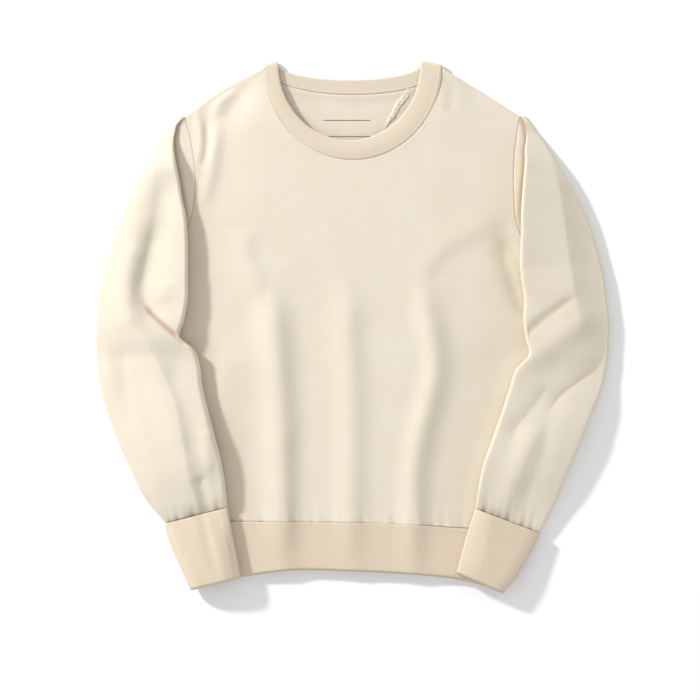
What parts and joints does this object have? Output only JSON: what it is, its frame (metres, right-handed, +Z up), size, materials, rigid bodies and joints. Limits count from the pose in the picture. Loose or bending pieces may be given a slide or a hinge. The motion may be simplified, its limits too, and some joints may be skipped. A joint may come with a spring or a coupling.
{
  "type": "crew-neck sweatshirt",
  "caption": "Long-sleeved crew-neck fleece sweatshirt, laid flat on its back with the sleeves brought down over the sides and the cuffs on the ribbed hem.",
  "frame": {"origin": "on the surface that the garment lies on, below the middle of its bounding box", "axes": "+Z up from that surface, +Y from the hem towards the neck, +X towards the wearer's left sleeve, which is the viewer's right"},
  "size_m": [0.65, 0.6746, 0.0402],
  "materials": {
    "cream_fleece": "soft cream fleece with a short, matt nap",
    "beige_rib": "matt rib knit, a little warmer and darker than the fleece"
  },
  "bodies": {
    "root": {"front_panel": "cream_fleece", "back_panel": "cream_fleece", "sleeve_right": "cream_fleece", "sleeve_left": "cream_fleece", "neckband": "beige_rib", "cuff_right": "beige_rib", "cuff_left": "beige_rib", "hem_band": "beige_rib"}
  },
  "joints": []
}
